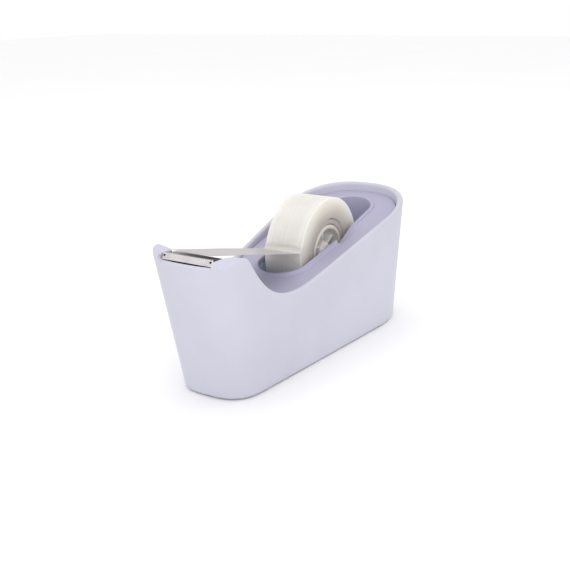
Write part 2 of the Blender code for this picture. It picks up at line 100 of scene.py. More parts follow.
# Well with half-round ends and a raised edge, and the axle's grooves.
WELL_FRONT, WELL_REAR, WELL_RADIUS = -16.0, 64.3, 11.5
EDGE_RISE, EDGE_REACH, EDGE_ROUND = 0.95, 2.3, 0.55
GROOVE_ANGLE, GROOVE_FLARE = math.radians(58), math.radians(30)
GROOVE_HALF_WIDTH, GROOVE_LENGTH, FLARE_FROM = 2.0, 20.0, 3.6
GROOVE_END_Y = 15.9

# Cutter: the foot and the edge of its face, and the flange behind, as (x, z).
BLADE_FOOT, BLADE_EDGE = np.array([-72.3, 59.0]), np.array([-70.95, 61.05])
FLANGE_FRONT, FLANGE_REAR = np.array([-70.5, 60.95]), np.array([-63.0, 59.75])
BLADE_HALF, BLADE_THICKNESS = 12.05, 0.32
TEETH, TOOTH_COLUMNS, TOOTH_HEIGHT, FLUTE_DEPTH = 26, 8, 0.62, 0.17
HOLE_Y, HOLE_CLIMB, HOLE_HALF_WIDTH, HOLE_HALF_HEIGHT = 11.05, 0.68, 0.5, 0.42

# Reel and free film.
TAPE_SHOULDER = 0.35
CORE_BORE = 12.8
HUB_RADIUS, HUB_BORE, HUB_GAP, WEB = 12.5, 1.85, 0.15, 1.55
RIB_COUNT, RIB_FROM, RIB_TO, RIB_HEIGHT = 6, 3.6, 11.2, 6.0
FILM_HALF, FILM_BOW = 0.06, 0.22
PEEL_HEIGHT, WRAP_HEIGHT = 5.2, 2.0

# Camera: its aim and distance in metres.
CAMERA_AIM, CAMERA_DISTANCE = (0.00502, 0.00593, 0.02743), 0.4113
CAMERA_LENS, CAMERA_SENSOR = 56.3, 36.0
VIEW_AZIMUTH, VIEW_ELEVATION, VIEW_ROLL = math.radians(-56.85), math.radians(17.89), math.radians(-1.2)


def round_size(node):
    """The radius and half the length of a CAD piece that is round about the reel's axis."""
    low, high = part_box(node)
    return (high[2] - low[2]) / 2 / MM, high[1] / MM


AXLE_X, AXLE_Z = [(low + high) / 2 / MM for low, high in zip(*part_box("axle"))][::2]
TAPE_RADIUS, TAPE_HALF_WIDTH = round_size("tape_roll")
CORE_RADIUS, CORE_HALF_WIDTH = round_size("roll_core")
AXLE_RADIUS, AXLE_HALF_LENGTH = round_size("axle")


# ---------------------------------------------------------------- numbers and grids

def smooth_step(value):
    """Three times the square less twice the cube of a value held between 0 and 1."""
    value = np.clip(value, 0.0, 1.0)
    return value * value * (3 - 2 * value)


def soft_lower(a, b, softness):
    """The lower of two values, rounded where they cross: their middle less half of a hyperbola."""
    return 0.5 * (a + b - np.sqrt((a - b) ** 2 + softness**2))


def quarter_drop(distance, radius):
    """How far a quarter round lies below its crest, at a distance in from the edge."""
    left = radius - np.clip(distance, 0.0, radius)
    return radius - np.sqrt(np.maximum(radius**2 - left**2, 0.0))


def mesh_object(name, points, faces, body):
    """A mesh object at the origin from points in millimetres, with smooth shading split at sharp angles."""
    points = np.asarray(points, float)
    mesh = bpy.data.meshes.new(name)
    mesh.from_pydata((points * MM).tolist(), [], faces)
    mesh.validate()
    mesh.shade_smooth()
    mesh.set_sharp_from_angle(angle=SHARP_ANGLE)
    made = bpy.data.objects.new(name, mesh)
    bpy.context.scene.collection.objects.link(made)
    if body:
        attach(made, body)
    return made


def grid_faces(rows, columns, close_rows):
    """Quads over a grid whose columns go round, and whose rows do if they are closed."""
    i = np.arange(rows if close_rows else rows - 1)[:, None]
    j = np.arange(columns)[None, :]
    next_i, next_j = (i + 1) % rows, (j + 1) % columns
    quads = [i * columns + j, next_i * columns + j, next_i * columns + next_j, i * columns + next_j]
    return np.stack(quads, -1).reshape(-1, 4).tolist()


def facing_out(points, faces):
    """The faces, all turned over if the volume that they enclose comes out negative."""
    flat = np.asarray(points, float).reshape(-1, 3)
    volume = 0.0
    for size in {len(f) for f in faces}:
        ring = np.array([f for f in faces if len(f) == size])
        for k in range(1, size - 1):
            a, b, c = flat[ring[:, 0]], flat[ring[:, k]], flat[ring[:, k + 1]]
            volume += np.einsum("ij,ij->", a, np.cross(b, c))
    return faces if volume > 0 else [f[::-1] for f in faces]


def closed_faces(points, caps):
    """The outward faces of a grid of rows by columns by three. The columns go round. The rows go round too,
    or with caps the first and the last row are each closed by one face."""
    rows, columns, _ = points.shape
    faces = grid_faces(rows, columns, not caps)
    if caps:
        faces.append(list(range(columns))[::-1])
        faces.append([(rows - 1) * columns + j for j in range(columns)])
    return facing_out(points, faces)


def grid_object(name, points, body, caps=False):
    return mesh_object(name, points.reshape(-1, 3), closed_faces(points, caps), body)


def join(name, parts, body):
    """Several grids made into one object: each part is (points, caps)."""
    all_points, all_faces, start = [], [], 0
    for points, caps in parts:
        all_faces += [[v + start for v in f] for f in closed_faces(points, caps)]
        all_points.append(points.reshape(-1, 3))
        start += points.shape[0] * points.shape[1]
    return mesh_object(name, np.concatenate(all_points), all_faces, body)


def carve(target, cutters):
    """Takes the cutters away from the target with exact Booleans, applies them and removes the cutters."""
    for cutter in cutters:
        step = target.modifiers.new("carve", "BOOLEAN")
        step.operation = "DIFFERENCE"
        step.solver = "EXACT"
        step.object = cutter
    bpy.context.view_layer.update()
    carved = bpy.data.meshes.new_from_object(target.evaluated_get(bpy.context.evaluated_depsgraph_get()))
    target.modifiers.clear()
    target.data = carved
    carved.shade_smooth()
    carved.set_sharp_from_angle(angle=SHARP_ANGLE)
    for cutter in cutters:
        bpy.data.objects.remove(cutter)


def rounded_profile(corners, radius, steps=5):
    """A closed outline with each corner replaced by a quadratic Bezier curve, which starts and ends a radius
    away from the corner, or less on a short side."""
    corners = np.asarray(corners, float)
    before, after = np.roll(corners, 1, 0) - corners, np.roll(corners, -1, 0) - corners
    reach_before = np.minimum(radius, np.linalg.norm(before, axis=1) * 0.45)[:, None]
    reach_after = np.minimum(radius, np.linalg.norm(after, axis=1) * 0.45)[:, None]
    first = corners + before / np.linalg.norm(before, axis=1)[:, None] * reach_before
    last = corners + after / np.linalg.norm(after, axis=1)[:, None] * reach_after
    t = np.linspace(0, 1, steps)[None, :, None]
    curve = (1 - t) ** 2 * first[:, None] + 2 * t * (1 - t) * corners[:, None] + t**2 * last[:, None]
    return curve.reshape(-1, 2)


def turned(profile, steps=160):
    """A closed outline of (radius, Y) turned round the reel's axis: x and z are the radius times the cosine
    and sine of the angle."""
    angle = np.arange(steps)[:, None] * 2 * math.pi / steps
    radius, along = profile[:, 0][None, :], profile[:, 1][None, :]
    x = AXLE_X + radius * np.cos(angle)
    z = AXLE_Z + radius * np.sin(angle)
    return np.stack([x, np.broadcast_to(along, x.shape), z], -1)


# ---------------------------------------------------------------- the casing's form

CAP_ANGLES = np.linspace(0.0, math.pi / 2, 1200)
SIDE_COUNT = 900


def half_plan(z, inset):
    """Half of the plan at a height, from the middle of the rear to the middle of the front. The ends follow
    x = cap * cos(a)^(2/n) and y = width * sin(a)^(2/n); the width grows in proportion to x."""
    front_centre = FRONT_X - FRONT_LEAN * z + inset + FRONT_CAP
    rear_centre = REAR_X - inset - REAR_CAP
    cosine, sine = np.clip(np.cos(CAP_ANGLES), 0, 1), np.sin(CAP_ANGLES)
    straight = np.linspace(rear_centre, front_centre, SIDE_COUNT + 2)[1:-1]
    x = np.concatenate([
        rear_centre + REAR_CAP * cosine ** (2 / REAR_ROUNDNESS),
        straight,
        (front_centre - FRONT_CAP * cosine ** (2 / FRONT_ROUNDNESS))[::-1],
    ])
    fullness = np.concatenate([
        sine ** (2 / REAR_ROUNDNESS), np.ones(SIDE_COUNT), (sine ** (2 / FRONT_ROUNDNESS))[::-1]
    ])
    share = np.minimum((x - FRONT_X) / (WIDENS_TO - FRONT_X), 1.0)
    width = FRONT_HALF_WIDTH + (REAR_HALF_WIDTH - FRONT_HALF_WIDTH) * share + SIDE_LEAN * z - inset
    return np.stack([x, width * fullness], -1)


def stations(spacing, crowd):
    """Places along the half plan, as positions in its table. Their density is one per spacing plus what crowd
    adds at a point, and each place has an equal share of the density's running sum."""
    plan = half_plan(STATIONS_Z, 0.0)
    step = np.linalg.norm(np.diff(plan, axis=0), axis=1)
    centre = (plan[1:] + plan[:-1]) / 2
    total = np.concatenate([[0.0], np.cumsum(step * (1 / spacing + crowd(centre[:, 0], centre[:, 1])))])
    count = int(total[-1])
    return np.interp(np.linspace(0, total[-1], count + 1), total, np.arange(len(plan)))


class Form:
    """The casing's ruled form at fixed stations: a point is a mix of four plans, which are low or high and
    outer or inner."""

    def __init__(self, places, inset):
        self.inset = inset
        self.table = {}
        for z in (0.0, FORM_TOP):
            for s in (0.0, inset):
                plan = half_plan(z, s)
                index = np.arange(len(plan))
                half = np.stack([np.interp(places, index, plan[:, k]) for k in (0, 1)], -1)
                half[0, 1] = half[-1, 1] = 0.0
                mirror = half[-2:0:-1] * (1, -1)
                self.table[z, s] = np.concatenate([half, mirror])
        self.count = len(self.table[0.0, 0.0])

    def at(self, inset, z):
        """The points at an inset and a height, each a number or one value for every station."""
        rise = np.asarray(z, float)[..., None] / FORM_TOP
        inward = np.asarray(inset, float)[..., None] / self.inset
        outer = self.table[0.0, 0.0] * (1 - rise) + self.table[FORM_TOP, 0.0] * rise
        inner = self.table[0.0, self.inset] * (1 - rise) + self.table[FORM_TOP, self.inset] * rise
        return outer * (1 - inward) + inner * inward


def valley_height(x):
    """A straight climb to the rear plus, ahead of the lowest place, a rise by a power of the distance."""
    return SLOPE_Z + SLOPE * (x - SLOPE_X) + VALLEY_RISE * np.maximum(VALLEY_X - x, 0.0) ** VALLEY_POWER


def rim_height(x):
    """The valley's height, held under the beak's top ahead of the middle."""
    return np.where(x < 0, soft_lower(BEAK_TOP, valley_height(x), CORNER_SOFTNESS), valley_height(x))


def deck_height(x):
    """The rim's line less a drop that grows to the rear, held under a flat platform behind the cutter."""
    drop = DROP_FRONT + (DROP_REAR - DROP_FRONT) * smooth_step((x - DROP_FROM) / (DROP_TO - DROP_FROM))
    height = valley_height(x) - drop
    return np.where(x < 0, soft_lower(PLATFORM_TOP, height, CORNER_SOFTNESS), height)


def crest_height(x, y):
    """The top of the lip: the rim, domed a little across each ear, and low along the sill under the blade."""
    across = np.abs(y)
    ahead = smooth_step((-62.0 - x) / 4.0)
    dome = INNER_FALL * smooth_step((18.0 - across) / 5.5) * ahead
    dome += CORNER_FALL * smooth_step((-66.0 - x) / 7.5) * smooth_step((across - 12.8) / 4.2)
    away = ((x - DIMPLE_X) / DIMPLE_RADIUS) ** 2 + ((across - DIMPLE_Y) / DIMPLE_RADIUS) ** 2
    ear = rim_height(x) - dome - DIMPLE_DEPTH * np.exp(-away)
    step = smooth_step((across - EAR_INNER_Y + 0.1) / 0.3)
    return np.where(x < SILL_BACK, SILL + (ear - SILL) * step, ear)


# ---------------------------------------------------------------- casing and deck

def shell_crowding(x, y):
    """Extra stations per millimetre: bell curves at the front corners, at the steps beside the blade and at
    the backs of the ears."""
    corner = 1.6 * np.exp(-(((x + 71.5) / 5.0) ** 2)) * (y > 7)
    step = 14.0 * np.exp(-(((y - EAR_INNER_Y) / 0.45) ** 2)) * (x < -70)
    back = 3.5 * np.exp(-(((x - EAR_BACK) / 1.3) ** 2)) * (y > 12)
    return corner + step + back


def ear_edge(form, half_count):
    """Which stations lie in an ear, and the inner edge of the ears in plan. The edge leaves the sill, runs
    back beside the blade and then out to the wall, by shares of the way round the ear."""
    ring = form.at(0.0, np.full(form.count, EAR_PLAN_Z))
    x, y = ring[:, 0], ring[:, 1]
    in_ear = (x < EAR_BACK) & (np.abs(y) > EAR_INNER_Y)
    travel = np.zeros(half_count)
    travel[1:] = np.cumsum(np.linalg.norm(np.diff(ring[:half_count], axis=0), axis=1))
    travel = np.concatenate([travel, travel[-2:0:-1]])
    back, sill = travel[in_ear].min(), travel[in_ear].max()
    share = np.clip((sill - travel) / (sill - back), 0.0, 1.0)

    wall = form.at(WALL, EAR_PLAN_Z)[:half_count][::-1]
    wall_y = np.interp(EAR_BACK, wall[:, 0], wall[:, 1])
    sill_x = FRONT_X - FRONT_LEAN * SILL + WALL
    first = soft_lower(2 * share, 1.0, 0.12)
    second = 2 * share - first
    edge_x = sill_x + (EAR_BACK - sill_x) * first
    edge_y = np.sign(y) * (EAR_INNER_Y + (wall_y - EAR_INNER_Y) * second)
    return in_ear, np.stack([edge_x, edge_y], -1)


def casing():
    """The outer shell as one closed surface: stations round the plan by rows that go up the outer wall, over
    the rounded lip, down the inner wall and under the foot. At the ears the inner edge is drawn in to the
    cutter."""
    places = stations(1.15, shell_crowding)
    form = Form(places, WALL)
    count = form.count
    in_ear, ear_plan = ear_edge(form, len(places))
    rows = []

    def inner_edge(z):
        return np.where(in_ear[:, None], ear_plan, form.at(WALL, z))

    def settle(inset_share, drop):
        """Finds a point between outer and inner edge whose own height fits the crest there."""
        inward = np.broadcast_to(inset_share, count)[:, None]
        z = np.full(count, SETTLE_START)
        for _ in range(SETTLE_STEPS):
            point = form.at(0.0, z) * (1 - inward) + inner_edge(z) * inward
            z = crest_height(point[:, 0], point[:, 1]) - drop
        return np.concatenate([point, z[:, None]], 1)

    def level(inset, height):
        rows.append(np.concatenate([form.at(inset, height), height[:, None]], 1))

    crest = settle(0.5, 0.0)[:, 2]
    length = np.linalg.norm(form.at(0.0, crest) - inner_edge(crest), axis=1)
    outer_top = settle(0.0, LIP_ROUND)[:, 2]
    inner_radius = np.where(in_ear, np.minimum(EAR_ROUND, length / 2.1), LIP_ROUND)
    inner_top = settle(1.0, inner_radius)[:, 2]

    # Foot and outer wall.
    for a in np.linspace(math.pi / 2, 0, 6):
        level(FOOT_ROUND * (1 - math.cos(a)), np.full(count, FOOT_Z + FOOT_ROUND * (1 - math.sin(a))))
    low = FOOT_Z + FOOT_ROUND
    for k in np.linspace(0, 1, 26)[1:]:
        level(0.0, low + (outer_top - low) * k)
    # Lip.
    for a in np.linspace(0, math.pi / 2, 8)[1:]:
        distance = LIP_ROUND * (1 - math.cos(a))
        rows.append(settle(distance / length, quarter_drop(distance, LIP_ROUND)))
    for k in np.linspace(0, 1, 14)[1:-1]:
        rows.append(settle((LIP_ROUND + (length - LIP_ROUND - inner_radius) * k) / length, 0.0))
    for a in np.linspace(math.pi / 2, 0, 7):
        distance = inner_radius * (1 - math.cos(a))
        rows.append(settle(1 - distance / length, inner_radius * (1 - math.sin(a))))
    # Inner wall: down to the ear's underside, back to the wall and down to the foot.
    under = np.minimum(EAR_BOTTOM, inner_top - 0.5)
    rows.append(np.concatenate([inner_edge(under), under[:, None]], 1))
    for k in (0.0, 0.35, 0.7, 1.0):
        level(WALL, under - 0.02 + (FOOT_Z - under) * k)
    made = grid_object("shell_skin", np.stack(rows), "base")
    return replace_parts(made, "outer_shell")


def well_edge(x, y, grow):
    """For each place on the deck's outer edge, its partner on the round-ended well, grown by a distance.
    Beside the straight sides the partner is straight across. Round an end it turns by an equal share of the
    travel."""
    half = len(x) // 2 + 1
    x, y = x[:half], y[:half]
    front, rear = WELL_FRONT + WELL_RADIUS, WELL_REAR - WELL_RADIUS
    travel = np.zeros(half)
    travel[1:] = np.cumsum(np.hypot(np.diff(x), np.diff(y)))
    at_rear = np.interp(-rear, -x, travel)
    at_front = np.interp(-front, -x, travel)
    angle = np.interp(travel, [0, at_rear, at_front, travel[-1]], [0, math.pi / 2, math.pi / 2, math.pi])
    centre = np.clip(x, front, rear)
    centre = np.where(travel < at_rear, rear, np.where(travel > at_front, front, centre))
    normal = np.stack([np.cos(angle), np.sin(angle)], -1)
    normal[0], normal[-1] = (1, 0), (-1, 0)
    edge = np.stack([centre, np.zeros(half)], -1) + normal * WELL_RADIUS
    mirror = np.array([1, -1])
    edge = np.concatenate([edge, edge[-2:0:-1] * mirror])
    normal = np.concatenate([normal, normal[-2:0:-1] * mirror])
    return edge + normal * np.asarray(grow, float)


def deck_crowding(x, y):
    """Extra stations per millimetre: a bell curve at the backs of the ears."""
    return 2.0 * np.exp(-(((x - EAR_BACK) / 1.5) ** 2)) * (y > 12)


def groove_tool():
    """The tool for both grooves: a half round seat under the axle and a mouth that flares to one side,
    carried across the deck."""
    along = np.array([math.cos(GROOVE_ANGLE), math.sin(GROOVE_ANGLE)])
    across = np.array([math.sin(GROOVE_ANGLE), -math.cos(GROOVE_ANGLE)])
    seat = np.array([AXLE_X, AXLE_Z])
    turn = np.linspace(0, math.pi, 13)[:, None]
    round_seat = seat + GROOVE_HALF_WIDTH * (np.cos(turn) * -across - np.sin(turn) * along)
    mouth = GROOVE_HALF_WIDTH + (GROOVE_LENGTH - FLARE_FROM) * math.tan(GROOVE_FLARE)
    opening = np.array([
        seat + GROOVE_HALF_WIDTH * across + FLARE_FROM * along,
        seat + mouth * across + GROOVE_LENGTH * along,
        seat - GROOVE_HALF_WIDTH * across + GROOVE_LENGTH * along,
    ])
    outline = np.concatenate([round_seat, opening])
    ends = [
        np.stack([outline[:, 0], np.full(len(outline), side * GROOVE_END_Y), outline[:, 1]], -1)
        for side in (-1, 1)
    ]
    return grid_object("groove_tool", np.stack(ends), None, caps=True)


def deck():
    """The inner deck as one closed surface: rows run from its outer edge to a raised round edge, down the
    well's skirt and back underneath. The height of every point comes from its own x."""
    form = Form(stations(1.3, deck_crowding), DECK_INSET)
    z = np.full(form.count, STATIONS_Z)
    for _ in range(SETTLE_STEPS):
        outer = form.at(DECK_INSET, z)
        z = deck_height(outer[:, 0])
    limit = EAR_INNER_Y - 0.3
    ahead = outer[:, 0] < EAR_BACK + 0.3
    outer[:, 1] = np.where(ahead, np.clip(outer[:, 1], -limit, limit), outer[:, 1])
    x, y = outer[:, 0], outer[:, 1]
    rows = []

    def row(plan, rise):
        height = deck_height(plan[:, 0]) + rise
        rows.append(np.concatenate([plan, height[:, None]], 1))

    foot = well_edge(x, y, EDGE_REACH)
    row(outer, -DECK_THICKNESS)
    row(outer, -0.25)
    for k in np.concatenate([[0.012], np.linspace(0, 1, 22)[1:]]):
        row(outer + (foot - outer) * k, 0.0)
    for grow in np.linspace(EDGE_REACH, EDGE_ROUND, 9)[1:]:
        row(well_edge(x, y, grow), EDGE_RISE * float(smooth_step((EDGE_REACH - grow) / 1.1)))
    for a in np.linspace(math.pi / 2, 0, 6)[1:]:
        row(well_edge(x, y, EDGE_ROUND * (1 - math.cos(a))), EDGE_RISE - EDGE_ROUND * (1 - math.sin(a)))

    inner, outside = well_edge(x, y, 0.0), well_edge(x, y, SKIRT_THICKNESS)
    top = deck_height(inner[:, 0]) + EDGE_RISE - EDGE_ROUND
    low = np.minimum(SKIRT_BOTTOM, deck_height(inner[:, 0]) - DECK_THICKNESS - 0.05)
    for plan, k in ((inner, 0.33), (inner, 0.66), (inner, 1.0), (outside, 1.0)):
        rows.append(np.concatenate([plan, (top + (low - top) * k)[:, None]], 1))
    for k in (0.0, 0.25, 0.5, 0.75):
        row(outside + (outer - outside) * k, -DECK_THICKNESS)
    made = grid_object("deck_skin", np.stack(rows), "base")
    carve(made, [groove_tool()])
    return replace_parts(made, "top_deck")


# ---------------------------------------------------------------- cutter

def hole_tool(side, centre, up, inward):
    """A rounded square bar through the blade's face, near one end."""
    half = np.array([HOLE_HALF_WIDTH, HOLE_HALF_HEIGHT])
    edges = rounded_profile(np.array([(-1, -1), (1, -1), (1, 1), (-1, 1)]) * half, 0.16, 4)
    ends = []
    for depth in (-1.2, 1.0):
        place = centre + np.multiply.outer(edges[:, 1], up) + inward * depth
        ends.append(np.stack([place[:, 0], side * HOLE_Y + edges[:, 0], place[:, 1]], -1))
    return grid_object("hole_tool", np.stack(ends), None, caps=True)


def blade():
    """The cutting strip: an L section carried across the width. The height of its front edge and the depth of
    its flutes follow a triangle wave, so each tooth is a small pressed point."""
    columns = TEETH * TOOTH_COLUMNS + 1
    y = np.linspace(-BLADE_HALF, BLADE_HALF, columns)
    wave = 1 - np.abs(2 * ((np.arange(columns) / TOOTH_COLUMNS) % 1) - 1)
    height = np.linalg.norm(BLADE_EDGE - BLADE_FOOT)
    up = (BLADE_EDGE - BLADE_FOOT) / height
    inward = np.array([up[1], -up[0]])

    def at(climb, depth):
        place = BLADE_FOOT + np.multiply.outer(climb, up) + np.multiply.outer(depth, inward)
        return np.stack([place[:, 0], y, place[:, 1]], -1)

    def flat(x, z):
        return np.stack([np.full(columns, x), y, np.full(columns, z)], -1)

    full, none = np.ones(columns), np.zeros(columns)
    flute = FLUTE_DEPTH * (1 - wave)
    point = height + TOOTH_HEIGHT * wave
    (front, top), (rear, low) = FLANGE_FRONT, FLANGE_REAR
    rows = [at(none, none + 0.06), at(full * 0.10, none)]
    for share in (0.22, 0.4, 0.6, 0.8, 1.0):
        rows.append(at(full * height * share, flute * min(1.0, share * 1.6 - 0.2)))
    rows += [at(point, flute * 0.5 + 0.05), at(point - 0.03, flute * 0.5 + 0.14)]
    rows.append(at(full * (height - 0.1), full * BLADE_THICKNESS))
    rows += [flat(front - 0.12, top + 0.03), flat(front, top), flat(rear - 0.1, low)]
    rows += [flat(rear, low - 0.1), flat(rear, low - 0.32), flat(front, top - 0.4)]
    rows += [flat(front - 0.45, top - 0.7), at(none, full * BLADE_THICKNESS)]
    made = grid_object("blade_skin", np.stack(rows, 1), "base", caps=True)
    centre = BLADE_FOOT + up * height * HOLE_CLIMB
    carve(made, [hole_tool(side, centre, up, inward) for side in (-1, 1)])
    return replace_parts(made, "cutter_blade")


# ---------------------------------------------------------------- reel

def wound_tape():
    """The roll: a ring whose side walls carry fine ridges, a sum of two waves of the radius that fades out at
    both edges, as turns of film do that lie a little in or out."""
    inner, outer = CORE_RADIUS + 0.3, TAPE_RADIUS - TAPE_SHOULDER
    radius = np.linspace(inner + 0.2, outer, 70)
    fade = smooth_step((radius - inner) / 1.0) * smooth_step((TAPE_RADIUS - radius) / 1.2)
    ridge = fade * (0.016 * np.sin(radius * 7.1) + 0.014 * np.sin(radius * 15.7 + 1.0) - 0.02)
    side = np.stack([radius, TAPE_HALF_WIDTH + ridge], -1)
    arc = np.linspace(math.pi / 2, 0, 6)[1:]
    shoulder = np.array([outer, TAPE_HALF_WIDTH - TAPE_SHOULDER]) + TAPE_SHOULDER * np.stack(
        [np.cos(arc), np.sin(arc)], -1)
    half = np.concatenate([[[inner, TAPE_HALF_WIDTH - 0.2]], side, shoulder, [[TAPE_RADIUS, 3.0]]])
    profile = np.concatenate([half, half[::-1] * (1, -1)])
    made = grid_object("tape_roll_skin", turned(profile, 200), "reel")
    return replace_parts(made, "tape_roll")


def core():
    """The ring that the tape is wound on, with softened edges."""
    half = CORE_HALF_WIDTH
    corners = [(CORE_RADIUS, half), (CORE_RADIUS, -half), (CORE_BORE, -half), (CORE_BORE, half)]
    made = grid_object("core_skin", turned(rounded_profile(corners, 0.45)), "reel")
    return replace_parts(made, "roll_core")


def rib(turn, sign):
    """A rounded bar that lies on the hub's web and points outwards at an angle."""
    out = np.array([math.cos(turn), math.sin(turn)])
    aside = np.array([-out[1], out[0]])
    corners = [(-0.6, WEB - 0.5), (0.6, WEB - 0.5), (0.5, RIB_HEIGHT), (-0.5, RIB_HEIGHT)]
    section = rounded_profile(corners, 0.35, 4)
    rings = []
    for radius in (RIB_FROM, RIB_TO):
        place = out * radius + np.multiply.outer(section[:, 0], aside)
        rings.append(np.stack([AXLE_X + place[:, 0], sign * section[:, 1], AXLE_Z + place[:, 1]], -1))
    return np.stack(rings)


def hub(side_name, sign):
    """Half of the hub: a rounded section of rim, web and boss turned round the axis, with ribs between."""
    far = CORE_HALF_WIDTH
    corners = [(HUB_RADIUS, far), (HUB_RADIUS, HUB_GAP), (HUB_BORE, HUB_GAP), (HUB_BORE, far - 0.4)]
    corners += [(3.1, far - 0.4), (4.5, far - 2.2), (4.7, WEB), (10.4, WEB), (10.6, far)]
    parts = [(turned(rounded_profile(corners, 0.5) * (1, sign)), False)]
    parts += [(rib(2 * math.pi * (k + 0.5) / RIB_COUNT, sign), True) for k in range(RIB_COUNT)]
    made = join(f"hub_{side_name}_skin", parts, "reel")
    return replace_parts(made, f"hub_{side_name}")


def axle():
    """A ground bar with a turned chamfer and a shallow dished centre at each end."""
    r, h = AXLE_RADIUS, AXLE_HALF_LENGTH
    half = np.array([[0.02, h - 0.25], [0.45, h - 0.25], [0.6, h - 0.02], [r - 0.45, h], [r - 0.05, h - 0.4],
                     [r, h - 0.5], [r, h / 2], [r, 0.2]])
    profile = np.concatenate([half, half[::-1] * (1, -1)])
    made = grid_object("axle_skin", turned(profile, 64), "carriage")
    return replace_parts(made, "axle")


def film_path():
    """The line of the free film in (x, z), with its peel point and tip. It starts on the roll, turns away on
    a quadratic Bezier bend and runs straight to the cutter."""
    centre = np.array([AXLE_X, AXLE_Z])
    radius = TAPE_RADIUS + 0.09
    start = math.pi - math.asin((PEEL_HEIGHT + WRAP_HEIGHT) / radius)
    stop = math.pi - math.asin(PEEL_HEIGHT / radius)
    turn = np.linspace(start, stop, 16)[:-1, None]
    wrapped = centre + radius * np.concatenate([np.cos(turn), np.sin(turn)], 1)
    peel = centre + radius * np.array([math.cos(stop), math.sin(stop)])
    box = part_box("tape_strip")
    tip = np.array([box[0][0] / MM + 0.1, box[1][2] / MM - 0.12])
    along = (tip - peel) / np.linalg.norm(tip - peel)
    down = np.array([-math.sin(stop), math.cos(stop)])
    first, last = peel - down * 1.1, peel + along * 1.3
    t = np.linspace(0, 1, 9)[:, None]
    bend = (1 - t) ** 2 * first + 2 * t * (1 - t) * peel + t**2 * last
    keep = np.linalg.norm(wrapped - peel, axis=1) > 1.15
    straight = last + np.linspace(0, 1, 60)[1:, None] * (tip - last)
    return np.concatenate([wrapped[keep], bend, straight]), peel, tip


def strip():
    """The free film: two sheets, half a thickness to each side of the path along its normal, with a faint bow
    that grows with the square of the distance from the middle in the free span."""
    path, peel, tip = film_path()
    tangent = np.gradient(path, axis=0)
    travel = np.cumsum(np.linalg.norm(tangent, axis=1))
    tangent /= np.linalg.norm(tangent, axis=1)[:, None]
    normal = np.stack([tangent[:, 1], -tangent[:, 0]], -1)
    y = np.linspace(-TAPE_HALF_WIDTH, TAPE_HALF_WIDTH, 25)
    bow = FILM_BOW * smooth_step((travel - 12.0) / 25.0)[:, None] * ((y / TAPE_HALF_WIDTH) ** 2)[None, :]
    sheets = []
    for side in (1, -1):
        x = path[:, 0][:, None] + normal[:, 0][:, None] * (bow + side * FILM_HALF)
        z = path[:, 1][:, None] + normal[:, 1][:, None] * (bow + side * FILM_HALF)
        sheet = np.stack([x, np.broadcast_to(y, x.shape), z], -1)
        sheets.append(sheet if side > 0 else sheet[:, ::-1])
    made = grid_object("strip_skin", np.concatenate(sheets, 1), None, caps=True)
    peel[0] * MM
    peel[1] * MM
    tip[0] * MM
    tip[1] * MM
    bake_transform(made)
    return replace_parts(made, "tape_strip")


# ---------------------------------------------------------------- materials

COLOUR_DRIFT = 0.035


def tone(red, green, blue):
    """A screen colour of 0 to 255, none of them very dark, as linear light."""
    return tuple(((v / 255 + 0.055) / 1.055) ** 2.4 for v in (red, green, blue))


class Signal:
    """A shader value. Python operators on it, and abs, add Math nodes."""

    def __init__(self, finish, socket):
        self.finish, self.socket = finish, socket

    def maths(self, operation, *values):
        made = self.finish.node("ShaderNodeMath", {"operation": operation}, *values)
        return Signal(self.finish, made.outputs[0])

    def __add__(self, other):
        return self.maths("ADD", self, other)

    def __sub__(self, other):
        return self.maths("SUBTRACT", self, other)

    def __mul__(self, other):
        return self.maths("MULTIPLY", self, other)

    def __pow__(self, other):
        return self.maths("POWER", self, other)

    def __rsub__(self, other):
        return self.maths("SUBTRACT", other, self)

    def __abs__(self):
        return self.maths("ABSOLUTE", self)

    __radd__, __rmul__ = __add__, __mul__


